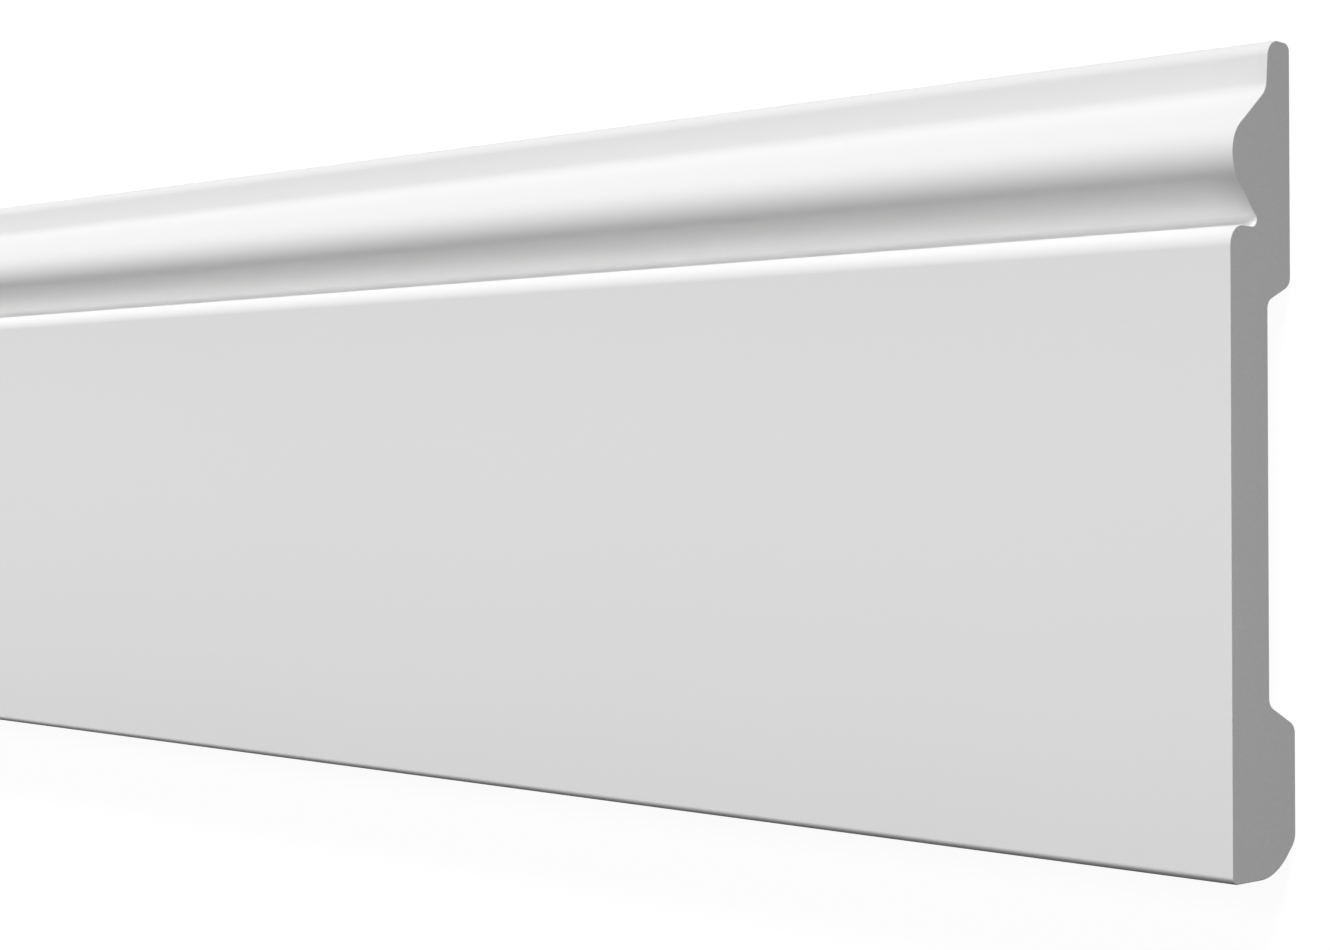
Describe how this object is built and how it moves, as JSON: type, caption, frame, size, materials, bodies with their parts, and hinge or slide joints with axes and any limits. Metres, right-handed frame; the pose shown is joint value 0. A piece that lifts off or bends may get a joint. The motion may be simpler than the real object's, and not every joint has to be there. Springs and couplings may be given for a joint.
{
  "type": "skirting board",
  "caption": "Straight length of white moulded skirting board: flat face, bead with an undercut groove, sloping band and rounded crown; relieved back and rounded heel.",
  "frame": {"origin": "under the middle of the board: half its length, half its height, on the plane of the lower back pad that it lies on", "axes": "+X along the length, +Y up the board's height towards the crown, +Z out of the flat face"},
  "size_m": [2, 0.138, 0.018],
  "materials": {
    "white_polymer": "smooth extruded white hard foam, primed, matte to satin; sawn ends slightly rougher"
  },
  "bodies": {
    "root": {"skirting_board": "white_polymer"}
  },
  "joints": []
}
